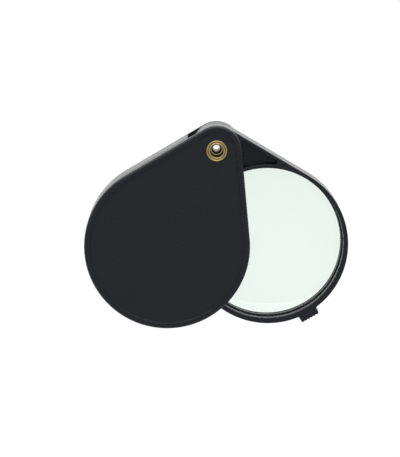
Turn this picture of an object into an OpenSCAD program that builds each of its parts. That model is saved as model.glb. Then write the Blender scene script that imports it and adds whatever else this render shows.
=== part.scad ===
// Folding pocket magnifier: a teardrop case, and a lens holder that swings out of it about a
// hollow eyelet. Z = 0 is the plane the closed or open loupe rests on, the Z axis is the eyelet's
// axis, and the Y axis halves the angle between the case and the holder as they are drawn.

/* [Pose] */
// Angle between the case's axis and the holder's axis as drawn
open_angle = 55.6; // [0:0.1:180]

/* [Case] */
// Distance from the eyelet's axis to the centre of the round end
pivot_to_centre = 26.4; // [25:0.1:28]
// Radius of the case's round end
case_r = 20.2; // [19.5:0.05:21]
// Radius of the case's head, round the eyelet
case_head_r = 6.05; // [5.8:0.05:7]
// Thickness of the whole loupe
case_t = 12; // [11.5:0.1:14]
// Thickness of each cover
cover_t = 1.5; // [1.3:0.1:2]
// Radius of the rounded outer edge of a cover
cover_round = 0.65; // [0.3:0.05:0.8]
// Width of the raised border round a cover's panel
border_w = 1.45; // [1:0.05:2.5]
// Depth of a cover's panel below its border
panel_sink = 0.35; // [0.3:0.05:0.5]
// Thickness of the side wall between the covers
wall_t = 0.5; // [0.5:0.05:0.8]
// Length of the notch between the head's tangent point and the side wall's end
wall_notch = 4.6; // [3.5:0.1:8]
// Direction of the side wall's other end from the round end's centre, short of the thumb tab
wall_end_angle = 260; // [230:1:261]

/* [Holder] */
// Gap between the side wall and the folded holder
side_gap = 0.2; // [0.12:0.01:0.3]
// Gap between each cover and the holder
cover_gap = 0.3; // [0.25:0.05:0.5]
// Radius of the holder's head
holder_head_r = 6; // [5.8:0.05:6.9]
// Thickness of the holder's straight side walls
holder_side_t = 0.75; // [0.6:0.05:1]
// Mean width of the lens ring's flat front and rear faces
ring_w = 0.95; // [0.7:0.05:1]
// Draft of the wall that leads from each face down to the lip
ring_draft = 0.1; // [0.05:0.05:0.2]
// Thickness of the wall between the lens's opening and the pocket beside it
pocket_wall = 0.75; // [0.6:0.05:0.8]
// Thickness of each half's web between the lens ring and the head
web_t = 0.8; // [0.5:0.1:1.5]

/* [Thumb tab] */
// Width of the thumb tab
tab_w = 4.8; // [4:0.1:6]
// How far the tab stands out of the lens ring
tab_out = 1.5; // [1:0.1:2]
// Angle round the lens between the holder's axis and the tab
tab_turn = 1.5; // [0:0.5:3]
// Number of grip ridges on the tab's end
tab_ridges = 6; // [4:1:7]

/* [Lens] */
// Distance of the lens's centre from the ring's, towards the eyelet
lens_shift = 0.45; // [0:0.05:0.5]
// Radius of curvature of each lens face
lens_curve_r = 80; // [60:0.5:100]
// Thickness of the lens's flat rim
lens_rim_t = 1.2; // [0.8:0.1:1.4]
// Width of the front half's lip, inside the opening's wall
front_lip = 0.35; // [0.2:0.05:0.4]
// Width of the rear half's lip, inside the opening's wall
rear_lip = 0.5; // [0.4:0.05:0.8]
// Height of each lip above the lens's rim
lip_t = 1.1; // [0.4:0.1:1.2]

/* [Eyelet] */
// Radius of the eyelet's flanges
flange_r = 2.53; // [2.4:0.01:3]
// Outer radius of the socket's tube, which the holder turns on
socket_r = 1.88; // [1.8:0.01:2]
// Radius of the hole in the socket
socket_hole_r = 1.6; // [1.5:0.01:1.65]
// Radius of the hole in the post
post_hole_r = 0.92; // [0.8:0.01:1.2]
// Height of the post's end above the resting plane
post_top = 7.7; // [4:0.1:9]
// Radius of the friction washers
washer_r = 4.6; // [3:0.1:5.5]

/* [Hidden] */

mid_z = case_t / 2;
holder_half_t = mid_z - cover_t - cover_gap;

// The folded holder lies inside the side wall, so its wall side is set in by wall and gap.
wall_inset = wall_t + side_gap;
ring_r = case_r - wall_inset;
wall_foot_r = ring_r - ring_w - ring_draft;
front_lip_r = wall_foot_r - front_lip;
rear_lip_r = wall_foot_r - rear_lip;
pocket_r = wall_foot_r + ring_draft + pocket_wall;

// The lens's flat rim reaches past the narrower lip, into the groove between the halves.
rim_bite = 0.3;
rim_gap = 0.03;
lens_r = front_lip_r + rim_bite;

// Fits round the eyelet: fixed in the covers, free to turn in the holder's head.
post_fit = 0.01;
cover_fit = 0.02;
turning_fit = 0.07;
washer_play = 0.02;

// Beads rolled on the flanges, outer and inner, and the plate between them.
bead_r = panel_sink / 2;
flange_plate_t = 0.15;

// Pegs that line up the holder's halves.
peg_r = 0.6;
peg_l = 1.2;
peg_at = 4.1;
peg_fit = 0.05;

tab_ridge_r = 0.45;

plastic = [0.16, 0.165, 0.18];
brass = [0.72, 0.6, 0.36];
clear = [0.9, 0.96, 0.93, 0.45];
fibre = [0.55, 0.5, 0.42];
far = 80;
eps = 0.01;
$fn = 128;

centre = [0, -pivot_to_centre];
lens_centre = centre + [0, lens_shift];

// Half angle between the straight sides of the case's teardrop.
side_lean = asin((case_r - case_head_r) / pivot_to_centre);

// A teardrop: a round end about centre, a head about the eyelet's axis, and their tangents.
module teardrop(round_r, head_r) {
    hull() {
        translate(centre) circle(r = round_r);
        circle(r = head_r);
    }
}

// The case's outline, set in all round by inset.
module case_outline(inset = 0) {
    teardrop(case_r - inset, case_head_r - inset);
}

// The holder's outline, set in by inset: nearly flush with the covers on the side it leaves the
// case by, and clear of the side wall on the other.
module holder_outline(inset = 0) {
    offset(delta = -inset) {
        teardrop(ring_r, case_head_r - wall_inset);
        circle(r = holder_head_r);
        intersection() {
            teardrop(ring_r, holder_head_r);
            translate([0, -far]) square(2 * far);
        }
    }
}

// Places a case part or a holder part, drawn with its axis along -Y, in the drawn pose.
module in_case() { rotate(-open_angle / 2) children(); }
module in_holder() { rotate(open_angle / 2) children(); }

// A cover lying on Z = 0 with its outer face down: rounded edge, sunk panel, eyelet hole.
module cover() {
    steps = 4;
    difference() {
        hull() {
            for (i = [0:steps], $fn = 72) {
                a = 90 * i / steps;
                translate([0, 0, cover_round * (1 - sin(a))])
                    linear_extrude(cover_t - cover_round * (1 - sin(a)))
                        case_outline(cover_round * (1 - cos(a)));
            }
        }
        translate([0, 0, -eps]) linear_extrude(panel_sink + eps) case_outline(border_w);
        translate([0, 0, -eps]) cylinder(r = socket_r + cover_fit, h = cover_t + 2 * eps);
    }
}

module front_cover() {
    color(plastic) in_case() translate([0, 0, case_t]) mirror([0, 0, 1]) cover();
}

module rear_cover() {
    color(plastic) in_case() cover();
}

// The spine between the covers, on the side away from the mouth. It runs from the notch by the
// head, down the left side and round to the thumb tab.
module side_wall() {
    out = [-cos(side_lean), sin(side_lean)];
    way = [-sin(side_lean), -cos(side_lean)];
    notch = case_head_r * out + wall_notch * way;
    mouth = [centre, centre + far * [cos(wall_end_angle), sin(wall_end_angle)], [far, -far],
             [far, far], notch + far * out, notch - 2 * wall_t * out];
    color(plastic) in_case() translate([0, 0, cover_t])
        linear_extrude(case_t - 2 * cover_t) difference() {
            case_outline();
            case_outline(wall_t);
            polygon(mouth);
        }
}

// The thumb tab's outline: straight sides and a row of rounded grip ridges on its end.
module tab_outline() {
    ridge_y = -(ring_r + tab_out - tab_ridge_r);
    reach = tab_w / 2 - tab_ridge_r;
    pitch = 2 * reach / (tab_ridges - 1);
    translate(centre) rotate(tab_turn) {
        for (i = [0:tab_ridges - 1])
            translate([-reach + i * pitch, ridge_y]) circle(r = tab_ridge_r, $fn = 32);
        translate([-tab_w / 2, ridge_y]) square([tab_w, tab_out]);
        translate([-reach, ridge_y - tab_ridge_r / 2]) square([2 * reach, tab_out]);
    }
}

// One half of the holder, with its parting face on Z = 0, its outer face up, and a lip of that
// radius over the lens's rim.
module holder_half(lip_r) {
    groove = lens_rim_t / 2 + rim_gap;
    wall_foot = groove + lip_t;
    difference() {
        linear_extrude(holder_half_t) union() {
            holder_outline();
            tab_outline();
        }
        translate([0, 0, web_t]) linear_extrude(holder_half_t) difference() {
            holder_outline(holder_side_t);
            translate(lens_centre) circle(r = pocket_r);
            circle(r = holder_head_r);
        }
        translate(concat(lens_centre, -eps)) {
            cylinder(r = lip_r, h = holder_half_t + 2 * eps);
            cylinder(r = lens_r + rim_gap, h = groove + eps);
        }
        translate(concat(lens_centre, wall_foot))
            cylinder(r1 = wall_foot_r, r2 = wall_foot_r + ring_draft,
                     h = holder_half_t - wall_foot + eps);
        translate([0, 0, -eps]) cylinder(r = socket_r + turning_fit, h = holder_half_t + 2 * eps);
    }
}

module holder_front() {
    color(plastic) in_holder() translate([0, 0, mid_z]) difference() {
        holder_half(front_lip_r);
        for (side = [-1, 1]) translate([side * peg_at, 0, -eps])
            cylinder(r = peg_r + peg_fit, h = peg_l + peg_fit, $fn = 32);
    }
}

module holder_rear() {
    color(plastic) in_holder() translate([0, 0, mid_z]) {
        mirror([0, 0, 1]) holder_half(rear_lip_r);
        for (side = [-1, 1]) translate([side * peg_at, 0, -web_t])
            cylinder(r = peg_r, h = web_t + peg_l, $fn = 32);
    }
}

// One face of the lens: a spherical cap that fills a lip, on the lens's middle plane.
module lens_face(lip_r) {
    face_r = lip_r - rim_gap;
    depth = sqrt(pow(lens_curve_r, 2) - pow(face_r, 2)) - lens_rim_t / 2;
    intersection() {
        translate([0, 0, -depth]) sphere(r = lens_curve_r, $fn = 256);
        cylinder(r = face_r, h = case_t / 2);
    }
}

// A biconvex lens with a flat rim, held by the rim between the holder's halves.
module lens() {
    color(clear) in_holder() translate(concat(lens_centre, mid_z)) {
        cylinder(r = lens_r, h = lens_rim_t, center = true);
        lens_face(front_lip_r);
        mirror([0, 0, 1]) lens_face(rear_lip_r);
    }
}

// A flange seen edge on, with its outer face up at height 0: an outer bead, an inner bead
// beside the hole, and a thin plate across them.
module flange_profile(hole_r) {
    translate([flange_r - bead_r, -bead_r]) circle(r = bead_r, $fn = 32);
    translate([hole_r + bead_r, -bead_r]) circle(r = bead_r, $fn = 32);
    translate([hole_r + bead_r, -panel_sink])
        square([flange_r - hole_r - 2 * bead_r, flange_plate_t]);
}

// The eyelet's socket: a flange on the front cover and a tube down to the post's flange.
module eyelet_socket() {
    foot = panel_sink + washer_play;
    color(brass) rotate_extrude() {
        translate([0, case_t]) flange_profile(socket_hole_r);
        translate([socket_hole_r, foot])
            square([socket_r - socket_hole_r, case_t - bead_r - foot]);
    }
}

// The eyelet's post: a flange on the rear cover and a narrower tube pressed into the socket.
module eyelet_post() {
    color(brass) rotate_extrude() {
        mirror([0, 1]) flange_profile(post_hole_r);
        translate([post_hole_r, bead_r])
            square([socket_hole_r - post_fit - post_hole_r, post_top - bead_r]);
    }
}

// A flat washer that fills the gap between a cover and the holder's head.
module friction_washer() {
    linear_extrude(cover_gap - 2 * washer_play) difference() {
        circle(r = washer_r);
        circle(r = socket_r + turning_fit);
    }
}

module front_friction_washer() {
    color(fibre) translate([0, 0, case_t - cover_t - cover_gap + washer_play]) friction_washer();
}

module rear_friction_washer() {
    color(fibre) translate([0, 0, cover_t + washer_play]) friction_washer();
}

front_cover();
rear_cover();
side_wall();
holder_front();
holder_rear();
lens();
eyelet_socket();
eyelet_post();
front_friction_washer();
rear_friction_washer();
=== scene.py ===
"""Folding pocket magnifier: moulded shells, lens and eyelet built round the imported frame.

Shapes are drawn in millimetres, with the eyelet's axis at the origin and the round end along -Y,
then turned into place and scaled to metres. Their driving sizes are measured on the frame.
"""

from math import acos, asin, atan2, ceil, cos, hypot, pi, radians, sin, sqrt, tau

import bmesh
import bpy
from mathutils import Matrix, Vector
from mathutils.geometry import delaunay_2d_cdt


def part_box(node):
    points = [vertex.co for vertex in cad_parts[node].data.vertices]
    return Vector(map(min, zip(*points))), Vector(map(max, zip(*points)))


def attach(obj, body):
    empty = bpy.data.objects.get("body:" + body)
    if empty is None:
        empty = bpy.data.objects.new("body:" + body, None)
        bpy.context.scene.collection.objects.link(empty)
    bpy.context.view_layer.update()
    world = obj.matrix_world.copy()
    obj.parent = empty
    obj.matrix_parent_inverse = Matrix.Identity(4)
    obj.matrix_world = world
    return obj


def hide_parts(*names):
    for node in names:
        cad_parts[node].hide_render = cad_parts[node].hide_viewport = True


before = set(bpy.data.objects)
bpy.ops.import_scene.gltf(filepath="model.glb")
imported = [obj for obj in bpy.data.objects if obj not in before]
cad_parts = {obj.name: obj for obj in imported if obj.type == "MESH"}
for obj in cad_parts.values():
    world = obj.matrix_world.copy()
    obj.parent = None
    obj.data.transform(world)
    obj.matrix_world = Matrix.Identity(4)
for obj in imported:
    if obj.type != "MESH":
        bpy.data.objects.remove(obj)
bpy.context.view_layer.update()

MM = 0.001


# ------------------------------------------------------------------ sizes, in millimetres


def extent(node):
    """A CAD node's lowest and highest corner, in millimetres."""
    low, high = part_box(node)
    return low / MM, high / MM


cover_low, cover_high = extent("front_cover")
ring_low, ring_high = extent("holder_front")
lens_low, lens_high = extent("lens")
socket_low, socket_high = extent("eyelet_socket")
_, post_high = extent("eyelet_post")

# The lens's centre gives half the angle between the case and the holder, and the distance
# between the eyelet and the round ends, whose centres lie a little further out.
LENS_SHIFT = 0.45
lens_at = (lens_low + lens_high) / 2
REACH = hypot(lens_at.x, lens_at.y) + LENS_SHIFT
HALF_OPEN = atan2(lens_at.x, -lens_at.y)
SIDEWAYS = REACH * sin(HALF_OPEN)

CASE_R = -cover_low.x - SIDEWAYS
CASE_HEAD_R = cover_high.y
CASE_T = cover_high.z
COVER_T = cover_high.z - cover_low.z
COVER_ROUND = 0.65
BORDER_W = 1.45
PANEL_SINK = 0.35
COVER_BORE_R = 1.9
WALL_T = 0.5
WALL_NOTCH = 4.6
WALL_END = radians(260)

RING_R = ring_high.x - SIDEWAYS
HEAD_R = ring_high.y
WALL_HEAD_R = CASE_HEAD_R - (CASE_R - RING_R)
PARTING_Z = ring_low.z
HALF_T = ring_high.z - ring_low.z
SIDE_T = 0.75
WEB_T = 0.8
RING_W = 0.95
RING_DRAFT = 0.1
POCKET_WALL = 0.75
FRONT_LIP = 0.35
REAR_LIP = 0.5
LIP_T = 1.1
WALL_FOOT_R = RING_R - RING_W - RING_DRAFT
POCKET_R = WALL_FOOT_R + RING_DRAFT + POCKET_WALL
FRONT_LIP_R = WALL_FOOT_R - FRONT_LIP
REAR_LIP_R = WALL_FOOT_R - REAR_LIP
HEAD_BORE_R = 1.95
PEG_R = 0.6
PEG_L = 1.2
PEG_AT = 4.1
PEG_FIT = 0.05
TAB_W = 4.8
TAB_OUT = 1.5
TAB_TURN = radians(1.5)
RIDGES = 6
RIDGE_R = 0.45

LENS_R = (lens_high.x - lens_low.x) / 2
LENS_CURVE_R = 80.0
LENS_RIM_T = 1.2
LENS_GAP = 0.03
LENS_FACETS = 360

FLANGE_R = socket_high.x
FLANGE_T = 0.35
SOCKET_R = 1.88
SOCKET_HOLE_R = 1.6
POST_R = 1.59
POST_HOLE_R = 0.92
BEAD_R = 0.175
FLANGE_PLATE_T = 0.15
MOUTH_FOOT = 0.65
THROAT_W = 0.1
THROAT_DEPTH = 0.4
LIP_DEPTH = 0.04

# Chord error of the arcs, the size of the small edge breaks on moulded edges, and the narrow flat
# strip beside a break, which keeps the break's shading off the face.
FINE = 0.002
BREAK = 0.1
SUPPORT = 0.06

AXIS = Vector((0, 0))
CENTRE = Vector((0, -REACH))
LENS_CENTRE = CENTRE + Vector((0, LENS_SHIFT))


# ------------------------------------------------------------------ outlines
#
# An outline is a closed run of tangent arcs (centre, radius, start, end), anticlockwise. An arc
# whose end is less than its start is hollow. Straight sides are what joins two arcs.


def unit(angle):
    return Vector((cos(angle), sin(angle)))


def circle(radius, centre=AXIS):
    return [(centre, radius, 0, tau)]


def teardrop(round_r, head_r):
    lean = asin((round_r - head_r) / REACH)
    return [(CENTRE, round_r, pi - lean, tau + lean), (AXIS, head_r, lean, pi - lean)]


def steps(radius, turn):
    """How many chords an arc takes."""
    return max(2, ceil(abs(turn) * sqrt(radius / (8 * FINE))))


def trace(outline, inset=0.0):
    """An outline's points, with the whole outline moved inwards by inset."""
    points = []
    for centre, radius, start, end in outline:
        count = steps(radius, end - start)
        reach = radius - inset if end > start else radius + inset
        last = count if end - start == tau else count + 1
        points += [centre + reach * unit(start + (end - start) * k / count) for k in range(last)]
    return points


def touch(centre, radius, normal, offset, turn):
    """Direction from centre to where a circle meets a line, given by its normal and offset."""
    return normal + turn * acos((offset - centre.dot(unit(normal))) / radius)


FREE_SIDE = asin((RING_R - HEAD_R) / REACH)
WALL_SIDE = pi - asin((RING_R - WALL_HEAD_R) / REACH)


def tab_outline(foot_r=0.3, groove_r=0.2):
    """The thumb tab's side of the holder: straight flanks and a row of rounded grip ridges."""
    flank = TAB_W / 2 + foot_r
    left = touch(CENTRE, RING_R + foot_r, pi, flank, 1)
    right = touch(CENTRE, RING_R + foot_r, tau, flank, -1)
    pitch = (TAB_W - 2 * RIDGE_R) / (RIDGES - 1)
    ridge_y = -(REACH + RING_R + TAB_OUT - RIDGE_R)
    half = asin(pitch / 2 / (RIDGE_R + groove_r))
    down = 1.5 * pi
    outline = [(CENTRE + (RING_R + foot_r) * unit(left), foot_r, left - pi, 0)]
    for i in range(RIDGES):
        x = (i - (RIDGES - 1) / 2) * pitch
        start = pi if i == 0 else down - half
        end = tau if i == RIDGES - 1 else down + half
        outline.append((Vector((x, ridge_y)), RIDGE_R, start, end))
        if i < RIDGES - 1:
            groove = Vector((x, ridge_y)) + (RIDGE_R + groove_r) * unit(down + half)
            outline.append((groove, groove_r, pi / 2 + half, pi / 2 - half))
    outline.append((CENTRE + (RING_R + foot_r) * unit(right), foot_r, pi, right - pi))
    turned = []
    for centre, radius, start, end in outline:
        at = CENTRE + Matrix.Rotation(TAB_TURN, 2) @ (centre - CENTRE)
        turned.append((at, radius, start + TAB_TURN, end + TAB_TURN))
    return left + TAB_TURN, turned, right + TAB_TURN


def holder_outline(neck_r=1.0):
    """The holder's outline: ring, thumb tab, free side, head, and the side that meets the wall."""
    neck = touch(AXIS, HEAD_R + neck_r, WALL_SIDE, WALL_HEAD_R + neck_r, 1)
    left, tab, right = tab_outline()
    return [
        (CENTRE, RING_R, WALL_SIDE, left),
        *tab,
        (CENTRE, RING_R, right, tau + FREE_SIDE),
        (AXIS, HEAD_R, FREE_SIDE, neck),
        ((HEAD_R + neck_r) * unit(neck), neck_r, neck + pi, WALL_SIDE + pi),
    ]


def pocket_outline(corner_r=0.6):
    """The pocket between the lens ring, the head and the two side walls of the holder."""
    free = HEAD_R - SIDE_T - corner_r
    wall = WALL_HEAD_R - SIDE_T - corner_r
    low_right = touch(LENS_CENTRE, POCKET_R + corner_r, FREE_SIDE, free, 1)
    low_left = touch(LENS_CENTRE, POCKET_R + corner_r, WALL_SIDE, wall, -1)
    top_right = touch(AXIS, HEAD_R + corner_r, FREE_SIDE, free, -1)
    top_left = touch(AXIS, HEAD_R + corner_r, WALL_SIDE, wall, 1)

    def corner(centre, radius, direction, start, end):
        return (centre + (radius + corner_r) * unit(direction), corner_r, start, end)

    return [
        (LENS_CENTRE, POCKET_R, low_left, low_right),
        corner(LENS_CENTRE, POCKET_R, low_right, low_right + pi, tau + FREE_SIDE),
        corner(AXIS, HEAD_R, top_right, FREE_SIDE, top_right + pi),
        (AXIS, HEAD_R, top_right, top_left - tau),
        corner(AXIS, HEAD_R, top_left, top_left - pi, WALL_SIDE),
        corner(LENS_CENTRE, POCKET_R, low_left, WALL_SIDE, low_left + pi),
    ]


def wall_outline(corner_r=0.12):
    """The side wall in plan: a thin strip along the case's left side and round end."""
    lean = asin((CASE_R - CASE_HEAD_R) / REACH)
    left = pi - lean
    out, up = unit(left), unit(left - pi / 2)
    notch = CASE_HEAD_R * out - WALL_NOTCH * up
    inner_r = CASE_R - WALL_T
    outer_end = WALL_END - corner_r / (CASE_R - corner_r)
    inner_end = WALL_END - corner_r / (inner_r + corner_r)
    outer_corner = CENTRE + (CASE_R - corner_r) * unit(outer_end)
    inner_corner = CENTRE + (inner_r + corner_r) * unit(inner_end)
    notch_inside = notch - (WALL_T - corner_r) * out - corner_r * up
    return [
        (notch - corner_r * (out + up), corner_r, left - pi / 2, left),
        (CENTRE, CASE_R, left, outer_end),
        (outer_corner, corner_r, outer_end, outer_end + pi / 2),
        (inner_corner, corner_r, inner_end + pi / 2, inner_end + pi),
        (CENTRE, inner_r, inner_end, left),
        (notch_inside, corner_r, left + pi, left + 1.5 * pi),
    ]


# ------------------------------------------------------------------ mesh building

# The triangulation's option for triangles inside the outlines only, and the distance in
# millimetres below which two of its points are one.
INSIDE_ONLY = 1
SAME_POINT = 1e-5

# The bend that counts as an edge that rubs, and the bend that is shaded sharp.
EDGE_BEND = radians(10)
SHARP_BEND = radians(40)


def bend(start, end, upright_first, count=5):
    """A quarter turn of an edge's section from start to end, both as (inset, height)."""
    section = []
    for k in range(count + 1):
        rise, run = sin(k / count * pi / 2), 1 - cos(k / count * pi / 2)
        if not upright_first:
            rise, run = run, rise
        inset = start[0] + (end[0] - start[0]) * run
        height = start[1] + (end[1] - start[1]) * rise
        section.append((inset, height))
    return section


def sweep(bm, outline, section):
    """A skin with that section all along an outline. Returns its first and last loops."""
    loops = []
    for inset, height in section:
        loops.append([bm.verts.new((p.x, p.y, height)) for p in trace(outline, inset)])
    for lower, upper in zip(loops, loops[1:]):
        for k in range(len(lower)):
            bm.faces.new((lower[k - 1], lower[k], upper[k], upper[k - 1]))
    return loops[0], loops[-1]


def fill(bm, *loops):
    """A flat face inside the first loop, with the others as holes. All run anticlockwise."""
    verts = [vert for loop in loops for vert in loop]
    number = {vert: k for k, vert in enumerate(verts)}
    outlines = [[number[vert] for vert in loop] for loop in loops]
    plane = [vert.co.xy for vert in verts]
    parts = delaunay_2d_cdt(plane, [], outlines, INSIDE_ONLY, SAME_POINT)
    _, _, triangles, origin, _, inside_of = parts
    for corners, outlines_round_it in zip(triangles, inside_of):
        if outlines_round_it == [0]:
            bm.faces.new([verts[origin[corner][0]] for corner in corners])


def piece(name, bm, material, turn, body, node):
    """Turns a drawn solid into a piece that rides on a body in a CAD node's place. Its "edge"
    attribute is 1 where the surface bends outwards, for the wear in the plastic's material."""
    bmesh.ops.recalc_face_normals(bm, faces=bm.faces)
    edge = bm.verts.layers.float.new("edge")
    for vert in bm.verts:
        bends = [e.calc_face_angle_signed(0.0) for e in vert.link_edges]
        vert[edge] = 1.0 if max(bends) > EDGE_BEND else 0.0
    for face in bm.faces:
        face.smooth = True
    placing = Matrix.Scale(MM, 4) @ Matrix.Rotation(turn, 4, "Z")
    bmesh.ops.transform(bm, matrix=placing, verts=bm.verts)
    mesh = bpy.data.meshes.new(name)
    bm.to_mesh(mesh)
    bm.free()
    mesh.set_sharp_from_angle(angle=SHARP_BEND)
    mesh.materials.append(material)
    made = bpy.data.objects.new(name, mesh)
    bpy.context.scene.collection.objects.link(made)
    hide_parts(node)
    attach(made, body)


# ------------------------------------------------------------------ the case


def cover_mesh(outer_z, way):
    """A cover whose outer face is at outer_z; way is +1 if that face looks up, -1 if down."""

    def z(depth):
        return outer_z - way * depth

    bm = bmesh.new()
    step_top = BORDER_W - 0.5 * BREAK
    step_foot = BORDER_W + 0.6 * BREAK
    inside, panel_edge = sweep(bm, teardrop(CASE_R, CASE_HEAD_R), [
        (3 * BREAK, z(COVER_T)),
        *bend((BREAK, z(COVER_T)), (0, z(COVER_T - BREAK)), False, 3),
        *bend((0, z(COVER_ROUND)), (COVER_ROUND, z(0)), True, 8),
        (COVER_ROUND + SUPPORT, z(0)),
        (BORDER_W - 1.5 * BREAK - SUPPORT, z(0)),
        *bend((BORDER_W - 1.5 * BREAK, z(0)), (step_top, z(BREAK)), False, 4),
        *bend((BORDER_W - 0.4 * BREAK, z(PANEL_SINK - BREAK)), (step_foot, z(PANEL_SINK)), True, 4),
        (BORDER_W + PANEL_SINK, z(PANEL_SINK)),
    ])
    bore_in, bore_out = sweep(bm, circle(COVER_BORE_R), [
        (-2 * BREAK, z(COVER_T)),
        *bend((-BREAK, z(COVER_T)), (0, z(COVER_T - BREAK)), False, 3),
        *bend((0, z(PANEL_SINK + BREAK)), (-BREAK, z(PANEL_SINK)), True, 3),
        (-2 * BREAK, z(PANEL_SINK)),
    ])
    fill(bm, inside, bore_in)
    fill(bm, panel_edge, bore_out)
    return bm


def wall_mesh():
    """The strip between the covers, with its long edges broken."""
    bm = bmesh.new()
    low, high = COVER_T, CASE_T - COVER_T
    nick = BREAK / 2
    bottom, top = sweep(bm, wall_outline(), [
        (2 * nick, low),
        *bend((nick, low), (0, low + nick), False, 3),
        *bend((0, high - nick), (nick, high), True, 3),
        (2 * nick, high),
    ])
    fill(bm, bottom)
    fill(bm, top)
    return bm


# ------------------------------------------------------------------ the lens holder


def half_mesh(way, lip_r, peg_fit):
    """One half of the holder. Heights run from the parting plane: up in the front half (way +1),
    down in the rear half (way -1), whose pegs stand up into the front half's wider holes."""

    def z(height):
        return PARTING_Z + way * height

    bm = bmesh.new()
    nick = BREAK / 2
    groove = LENS_RIM_T / 2 + LENS_GAP
    groove_r = LENS_R + LENS_GAP
    parting, face = sweep(bm, holder_outline(), [
        (3 * nick, z(0)),
        *bend((nick, z(0)), (0, z(nick)), False, 3),
        *bend((0, z(HALF_T - 2 * BREAK)), (2 * BREAK, z(HALF_T)), True, 5),
        (2 * BREAK + SUPPORT, z(HALF_T)),
    ])
    floor, pocket = sweep(bm, pocket_outline(), [
        (2.5 * BREAK, z(WEB_T)),
        *bend((2 * BREAK, z(WEB_T)), (0, z(WEB_T + 2 * BREAK)), False, 4),
        *bend((0, z(HALF_T - BREAK)), (-BREAK, z(HALF_T)), True, 4),
        (-BREAK - SUPPORT, z(HALF_T)),
    ])
    lip = WALL_FOOT_R - lip_r
    foot = groove + LIP_T
    seat, opening = sweep(bm, circle(WALL_FOOT_R, LENS_CENTRE), [
        (WALL_FOOT_R - groove_r, z(0)),
        (WALL_FOOT_R - groove_r, z(groove)),
        (lip, z(groove)),
        *bend((lip, z(foot - BREAK)), (lip - BREAK, z(foot)), True, 4),
        (0, z(foot)),
        *bend((-RING_DRAFT, z(HALF_T - nick)), (-RING_DRAFT - nick, z(HALF_T)), True, 3),
        (-RING_DRAFT - nick - SUPPORT, z(HALF_T)),
    ])
    bore_in, bore_out = sweep(bm, circle(HEAD_BORE_R), [
        (0, z(0)),
        *bend((0, z(HALF_T - BREAK)), (-BREAK, z(HALF_T)), True, 3),
    ])
    pegs = []
    for side in (-1, 1):
        peg = circle(PEG_R + peg_fit, Vector((side * PEG_AT, 0)))
        peg_top = PARTING_Z + PEG_L + peg_fit
        root, end = sweep(bm, peg, [
            (0, z(0)),
            *bend((0, peg_top - nick), (nick, peg_top), True, 2),
        ])
        fill(bm, end)
        pegs.append(root)
    fill(bm, face, pocket, opening, bore_out)
    fill(bm, floor)
    fill(bm, parting, seat, bore_in, *pegs)
    return bm


# ------------------------------------------------------------------ turned parts


def revolve(profile, centre=AXIS, round_steps=160):
    """A solid of revolution from a closed profile of (radius, height); radius 0 is the axis."""
    bm = bmesh.new()
    loops = []
    for radius, height in profile:
        count = 1 if radius == 0 else round_steps
        ring = [centre + radius * unit(tau * k / round_steps) for k in range(count)]
        loops.append([bm.verts.new((p.x, p.y, height)) for p in ring])
    for lower, upper in zip(loops, loops[1:] + loops[:1]):
        for k in range(round_steps):
            before, after = (lower[k - 1], lower[k]) if len(lower) > 1 else (lower[0],) * 2
            over, back = (upper[k], upper[k - 1]) if len(upper) > 1 else (upper[0],) * 2
            corners = list(dict.fromkeys((before, after, over, back)))
            if len(corners) > 2:
                bm.faces.new(corners)
    return bm


def lens_face(lip_r, count=72):
    """The section of a lens face from its middle to its edge, with heights from the rim's face."""
    edge_r = lip_r - LENS_GAP
    foot = sqrt(LENS_CURVE_R ** 2 - edge_r ** 2)
    radii = [edge_r * k / count for k in range(count + 1)]
    return [(r, LENS_RIM_T / 2 + sqrt(LENS_CURVE_R ** 2 - r ** 2) - foot) for r in radii]


def lens_mesh(nick=0.05):
    """A biconvex lens with a flat rim."""
    middle = lens_high.z - lens_face(FRONT_LIP_R)[0][1]
    rim = LENS_RIM_T / 2
    rim_edge = [(LENS_R - nick, rim), (LENS_R, rim - nick)]
    front = lens_face(FRONT_LIP_R) + rim_edge
    rear = lens_face(REAR_LIP_R) + rim_edge
    profile = [(r, middle + h) for r, h in front] + [(r, middle - h) for r, h in reversed(rear)]
    return revolve(profile, LENS_CENTRE, LENS_FACETS)


def flange(hole_r, count=14):
    """The section of a flange, with heights from the panel it sits on: from its hole over an
    inner bead, down to a thin plate, and over the outer bead to its underside."""
    middle = FLANGE_T - BEAD_R
    dip = asin((FLANGE_PLATE_T - middle) / BEAD_R)
    section = []
    inner = (hole_r + BEAD_R, pi, dip)
    outer = (FLANGE_R - BEAD_R, pi - dip, -pi / 2)
    for crest_r, start, end in (inner, outer):
        for k in range(count + 1):
            turn = start + (end - start) * k / count
            section.append((crest_r + BEAD_R * cos(turn), middle + BEAD_R * sin(turn)))
    return section


def socket_mesh(nick=0.05):
    """The eyelet's socket: a flange on the front cover and a tube that goes over the post."""
    foot = socket_low.z
    base = CASE_T - FLANGE_T
    profile = [(SOCKET_HOLE_R + nick, foot), (SOCKET_HOLE_R, foot + nick)]
    profile += [(r, base + h) for r, h in flange(SOCKET_HOLE_R)]
    profile += [(SOCKET_R, base), (SOCKET_R, foot + nick), (SOCKET_R - nick, foot)]
    return revolve(profile)


def post_mesh(nick=0.08):
    """The eyelet's post: a flange on the rear cover and a tube with a flared mouth, pressed into
    the socket. The mouth widens slowly at its throat, then quickly, to an almost flat lip."""
    top = post_high.z
    lip_r = (POST_R + POST_HOLE_R) / 2
    profile = [(r, FLANGE_T - h) for r, h in reversed(flange(POST_HOLE_R))]
    profile += [(POST_HOLE_R, top - MOUTH_FOOT), (POST_HOLE_R + THROAT_W, top - THROAT_DEPTH)]
    profile += [(lip_r, top - LIP_DEPTH), (POST_R - nick, top), (POST_R, top - nick)]
    profile += [(POST_R, FLANGE_T + nick)]
    return revolve(profile)


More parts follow.
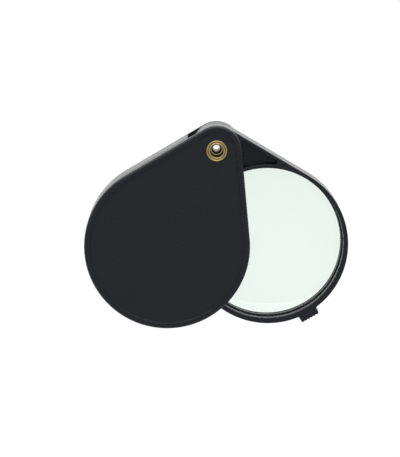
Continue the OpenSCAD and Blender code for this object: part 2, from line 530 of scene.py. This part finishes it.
def washer_mesh(node, nick=0.04):
    """A flat washer with its rims broken."""
    low, high = extent(node)
    profile = [
        (HEAD_BORE_R, low.z + nick), (HEAD_BORE_R + nick, low.z), (high.x - nick, low.z),
        (high.x, low.z + nick), (high.x, high.z - nick), (high.x - nick, high.z),
        (HEAD_BORE_R + nick, high.z), (HEAD_BORE_R, high.z - nick),
    ]
    return revolve(profile)


# ------------------------------------------------------------------ materials

CASE_DARK = (0.0142, 0.0142, 0.0158)
CASE_LIGHT = (0.0156, 0.0156, 0.0172)
CASE_GLOSS = 0.26
HOLDER_DARK = (0.0138, 0.0138, 0.0145)
HOLDER_LIGHT = (0.015, 0.015, 0.0157)
HOLDER_GLOSS = 0.24
RUBBED_PLASTIC = (0.035, 0.037, 0.04)
RUBBED_SHARE = 0.4

BRASS = (0.97, 0.75, 0.31)
BRASS_TARNISHED = (0.84, 0.58, 0.2)
# Painted shade: dark colours for the eyelet's bores, standing in for the shade that falls in the
# hole.
POST_BORE_SHADE = (0.19, 0.18, 0.15)
POST_BORE_SHADE_TARNISHED = (0.13, 0.12, 0.1)
SOCKET_BORE_SHADE = (0.2, 0.14, 0.08)
SOCKET_BORE_SHADE_TARNISHED = (0.09, 0.06, 0.035)

LENS_TINT = (0.853, 0.925, 0.876)
LENS_TINT_DEEP = (0.845, 0.92, 0.868)
LENS_SHADOW = (0.9, 0.93, 0.91, 1)

FIBRE = (0.3, 0.25, 0.18)
FIBRE_DARK = (0.2, 0.16, 0.11)

FLOOR = (0.1, 0.1, 0.1)
FLOOR_LIGHT = (0.12, 0.12, 0.12)
FLOOR_GLOW = (1, 1, 1, 1)


class Nodes:
    """A new material's node tree, with short ways to add and join nodes."""

    def __init__(self, name):
        self.material = bpy.data.materials.new(name)
        self.material.use_nodes = True
        self.tree = self.material.node_tree
        self.tree.nodes.clear()
        self.coords = self.add("ShaderNodeTexCoord").outputs["Object"]

    def add(self, kind, **settings):
        node = self.tree.nodes.new(kind)
        for key, value in settings.items():
            setattr(node, key, value)
        return node

    def join(self, source, socket):
        self.tree.links.new(source, socket)

    def noise(self, size, detail=3.0, roughness=0.55, coords=None):
        """Noise whose features are about size millimetres across, from 0 to 1."""
        node = self.add("ShaderNodeTexNoise")
        self.join(coords or self.coords, node.inputs["Vector"])
        node.inputs["Scale"].default_value = 1 / (size * MM)
        node.inputs["Detail"].default_value = detail
        node.inputs["Roughness"].default_value = roughness
        return node.outputs["Fac"]

    def spread(self, value, low, high, start=0.3, end=0.7):
        """Maps a value from start..end to low..high, without going past either."""
        node = self.add("ShaderNodeMapRange")
        self.join(value, node.inputs["Value"])
        ends = {"From Min": start, "From Max": end, "To Min": low, "To Max": high}
        for key, number in ends.items():
            node.inputs[key].default_value = number
        return node.outputs["Result"]

    def maths(self, operation, a, b):
        """Joins two values, each either a float or another node's value."""
        node = self.add("ShaderNodeMath", operation=operation)
        for socket, value in zip(node.inputs, (a, b)):
            if isinstance(value, float):
                socket.default_value = value
            else:
                self.join(value, socket)
        return node.outputs[0]

    def mix(self, factor, first, second):
        """Mixes two colours, each either a tuple or another node's colour."""
        node = self.add("ShaderNodeMix", data_type="RGBA")
        self.join(factor, node.inputs["Factor"])
        for socket, colour in ((node.inputs[6], first), (node.inputs[7], second)):
            if isinstance(colour, tuple):
                socket.default_value = (*colour, 1)
            else:
                self.join(colour, socket)
        return node.outputs[2]

    def bump(self, height, depth):
        """A bump of depth millimetres, at full strength."""
        node = self.add("ShaderNodeBump")
        self.join(height, node.inputs["Height"])
        node.inputs["Distance"].default_value = depth * MM
        node.inputs["Strength"].default_value = 1.0
        return node.outputs["Normal"]

    def finish(self, shader):
        """Sends the shader to the material's surface and returns the material."""
        output = self.add("ShaderNodeOutputMaterial")
        self.join(shader, output.inputs["Surface"])
        return self.material


def plastic(name, dark, light, gloss):
    """Satin moulded plastic: spark-eroded grain, faint flow marks and rubbed edges."""
    nodes = Nodes(name)
    shader = nodes.add("ShaderNodeBsdfPrincipled")
    flow = nodes.noise(size=9.0, detail=2.0)
    grain = nodes.noise(size=0.22, detail=4.0, roughness=0.6)
    scuffs = nodes.noise(size=2.4)
    edge = nodes.add("ShaderNodeAttribute", attribute_name="edge").outputs["Fac"]
    rubbed = nodes.maths("MULTIPLY", edge, nodes.spread(scuffs, 0.0, 1.0, 0.45, 0.7))
    colour = nodes.mix(nodes.spread(flow, 0.0, 1.0), dark, light)
    colour = nodes.mix(nodes.maths("MULTIPLY", rubbed, RUBBED_SHARE), colour, RUBBED_PLASTIC)
    nodes.join(colour, shader.inputs["Base Color"])
    rough = nodes.spread(grain, gloss - 0.04, gloss + 0.05)
    rough = nodes.maths("ADD", rough, nodes.spread(scuffs, -0.01, 0.02, 0.35, 0.75))
    nodes.join(rough, shader.inputs["Roughness"])
    nodes.join(nodes.bump(grain, 0.002), shader.inputs["Normal"])
    shader.inputs["IOR"].default_value = 1.5
    return nodes.finish(shader.outputs["BSDF"])


def brass():
    """Brass with turning lines round the axis and a light, uneven tarnish. The post's bore and the
    socket's bore between the two flanges are painted dark as shade that falls in the hole, mottled
    by the tarnish."""
    nodes = Nodes("eyelet_brass")
    shader = nodes.add("ShaderNodeBsdfPrincipled")
    split = nodes.add("ShaderNodeSeparateXYZ")
    nodes.join(nodes.coords, split.inputs["Vector"])
    height = split.outputs[2]
    square = [nodes.maths("MULTIPLY", split.outputs[k], split.outputs[k]) for k in (0, 1)]
    radius = nodes.maths("SQRT", nodes.maths("ADD", *square), 0.0)
    rings = nodes.add("ShaderNodeCombineXYZ")
    nodes.join(radius, rings.inputs[0])
    nodes.join(height, rings.inputs[2])
    turning = nodes.noise(size=0.06, roughness=0.7, coords=rings.outputs[0])
    tarnish = nodes.noise(size=0.9, detail=5.0, roughness=0.65)

    def fade(value, low, high, start, end):
        """Spreads a value whose start and end are distances in millimetres."""
        return nodes.spread(value, low, high, start * MM, end * MM)

    # Painted shade: the post's bore and the socket's bore between the flanges are coloured dark
    # where shade falls in the hole.
    below_front = fade(height, 1.0, 0.0, CASE_T - FLANGE_T, CASE_T)
    above_rear = fade(height, 0.0, 1.0, FLANGE_T, 2 * FLANGE_T)
    between = nodes.maths("MULTIPLY", below_front, above_rear)
    near_wall = fade(radius, 0.0, 1.0, POST_R - 0.1, POST_R - 0.04)
    shaded_socket_bore = nodes.maths("MULTIPLY", between, near_wall)
    shaded_post_bore = fade(radius, 1.0, 0.0, POST_HOLE_R + 0.03, POST_HOLE_R + 0.12)
    post_bore_shade_colour = nodes.mix(tarnish, POST_BORE_SHADE, POST_BORE_SHADE_TARNISHED)
    socket_bore_shade_colour = nodes.mix(tarnish, SOCKET_BORE_SHADE, SOCKET_BORE_SHADE_TARNISHED)
    colour = nodes.mix(nodes.spread(tarnish, 0.0, 1.0, 0.35, 0.7), BRASS, BRASS_TARNISHED)
    colour = nodes.mix(shaded_post_bore, colour, post_bore_shade_colour)
    colour = nodes.mix(shaded_socket_bore, colour, socket_bore_shade_colour)
    nodes.join(colour, shader.inputs["Base Color"])
    rough = nodes.maths("ADD", nodes.spread(tarnish, 0.2, 0.34), nodes.spread(turning, 0.0, 0.08))
    rough = nodes.maths("ADD", rough, nodes.spread(shaded_socket_bore, 0.0, 0.25, 0.0, 1.0))
    nodes.join(rough, shader.inputs["Roughness"])
    nodes.join(nodes.bump(turning, 0.003), shader.inputs["Normal"])
    shader.inputs["Metallic"].default_value = 1.0
    return nodes.finish(shader.outputs["BSDF"])


def acrylic():
    """Clear polished acrylic with a trace of green and a few faintly rubbed patches. Light that
    only casts a shadow goes straight through it."""
    nodes = Nodes("lens_acrylic")
    shader = nodes.add("ShaderNodeBsdfPrincipled")
    rubs = nodes.noise(size=6.0, detail=1.0, roughness=0.5)
    nodes.join(nodes.spread(rubs, 0.0, 0.01), shader.inputs["Roughness"])
    haze = nodes.noise(size=7.0, detail=2.0)
    tint = nodes.mix(nodes.spread(haze, 0.0, 1.0), LENS_TINT, LENS_TINT_DEEP)
    nodes.join(tint, shader.inputs["Base Color"])
    shader.inputs["Transmission Weight"].default_value = 1.0
    shader.inputs["IOR"].default_value = 1.49
    clear = nodes.add("ShaderNodeBsdfTransparent")
    clear.inputs["Color"].default_value = LENS_SHADOW
    shadow = nodes.add("ShaderNodeLightPath").outputs["Is Shadow Ray"]
    mixed = nodes.add("ShaderNodeMixShader")
    sources = (shadow, shader.outputs["BSDF"], clear.outputs["BSDF"])
    for source, socket in zip(sources, mixed.inputs):
        nodes.join(source, socket)
    return nodes.finish(mixed.outputs["Shader"])


def fibre():
    """Vulcanised fibre: matt, mottled, with short pressed strands."""
    nodes = Nodes("washer_fibre")
    shader = nodes.add("ShaderNodeBsdfPrincipled")
    strands = nodes.noise(size=0.15, detail=5.0, roughness=0.75)
    mottle = nodes.noise(size=0.8)
    colour = nodes.mix(nodes.spread(mottle, 0.0, 1.0), FIBRE, FIBRE_DARK)
    nodes.join(colour, shader.inputs["Base Color"])
    nodes.join(nodes.spread(strands, 0.6, 0.85), shader.inputs["Roughness"])
    nodes.join(nodes.bump(strands, 0.02), shader.inputs["Normal"])
    return nodes.finish(shader.outputs["BSDF"])


def paper():
    """The pale floor, which glows so that it stays evenly white."""
    nodes = Nodes("studio_floor")
    shader = nodes.add("ShaderNodeBsdfPrincipled")
    tone = nodes.mix(nodes.noise(size=60.0, detail=2.0), FLOOR, FLOOR_LIGHT)
    nodes.join(tone, shader.inputs["Base Color"])
    shader.inputs["Roughness"].default_value = 0.9
    shader.inputs["Emission Color"].default_value = FLOOR_GLOW
    shader.inputs["Emission Strength"].default_value = 1.0
    return nodes.finish(shader.outputs["BSDF"])


# ------------------------------------------------------------------ the object

case_black = plastic("case_plastic", CASE_DARK, CASE_LIGHT, CASE_GLOSS)
holder_black = plastic("holder_plastic", HOLDER_DARK, HOLDER_LIGHT, HOLDER_GLOSS)
brass_metal = brass()
fibre_sheet = fibre()

piece("front_cover_shell", cover_mesh(CASE_T, 1), case_black, -HALF_OPEN,
      "case", "front_cover")
piece("rear_cover_shell", cover_mesh(0.0, -1), case_black, -HALF_OPEN,
      "case", "rear_cover")
piece("side_wall_strip", wall_mesh(), case_black, -HALF_OPEN, "case", "side_wall")
piece("holder_front_half", half_mesh(1, FRONT_LIP_R, PEG_FIT), holder_black, HALF_OPEN,
      "holder", "holder_front")
piece("holder_rear_half", half_mesh(-1, REAR_LIP_R, 0.0), holder_black, HALF_OPEN,
      "holder", "holder_rear")
piece("lens_blank", lens_mesh(), acrylic(), HALF_OPEN, "holder", "lens")
piece("socket_eyelet", socket_mesh(), brass_metal, 0, "case", "eyelet_socket")
piece("post_eyelet", post_mesh(), brass_metal, 0, "case", "eyelet_post")
for where in ("front", "rear"):
    washer = f"{where}_friction_washer"
    piece(f"{where}_washer_disc", washer_mesh(washer), fibre_sheet, 0,
          "case", washer)


# ------------------------------------------------------------------ studio, in metres

LOOK_AT = Vector((0, -0.02, 0))
SKY = (0.72, 0.8, 0.92, 1)
SKY_STRENGTH = 0.45

# The camera stands almost over the loupe, a little towards its head, with a long lens.
CAMERA_AT = (-0.00668, 0.06427, 0.54198)
CAMERA_TILT = (-0.1555, -0.00637, -0.01155)
CAMERA_LENS = 174.4
SENSOR_W = 36


def floor_disc(radius=3.0, segments=96):
    """The floor that the loupe lies on."""
    bm = bmesh.new()
    bmesh.ops.create_circle(bm, cap_ends=True, segments=segments, radius=radius)
    mesh = bpy.data.meshes.new("floor")
    bm.to_mesh(mesh)
    bm.free()
    mesh.materials.append(paper())
    disc = bpy.data.objects.new("floor", mesh)
    bpy.context.scene.collection.objects.link(disc)


def softbox(name, azimuth, elevation, distance, width, height, power):
    """A rectangular light that looks at the object. Azimuth 0 is the +Y side, 90 the +X side."""
    light = bpy.data.lights.new(name, "AREA")
    light.shape = "RECTANGLE"
    light.size, light.size_y = width, height
    light.energy = power
    lamp = bpy.data.objects.new(name, light)
    turn, rise = radians(azimuth), radians(elevation)
    away = Vector((sin(turn) * cos(rise), cos(turn) * cos(rise), sin(rise)))
    lamp.location = LOOK_AT + away * distance
    lamp.rotation_euler = (-away).to_track_quat("-Z", "Y").to_euler()
    bpy.context.scene.collection.objects.link(lamp)


floor_disc()
softbox("back_softbox", azimuth=0, elevation=34, distance=1.1, width=1.7, height=0.8, power=7.0)

world = bpy.data.worlds.new("studio")
world.use_nodes = True
sky = world.node_tree.nodes["Background"]
sky.inputs["Color"].default_value = SKY
sky.inputs["Strength"].default_value = SKY_STRENGTH
bpy.context.scene.world = world

bpy.context.scene.view_settings.view_transform = "Standard"

camera = bpy.data.cameras.new("camera")
camera.lens = CAMERA_LENS
camera.sensor_width = SENSOR_W
camera_object = bpy.data.objects.new("camera", camera)
camera_object.location = CAMERA_AT
camera_object.rotation_euler = CAMERA_TILT
bpy.context.scene.collection.objects.link(camera_object)
bpy.context.scene.camera = camera_object
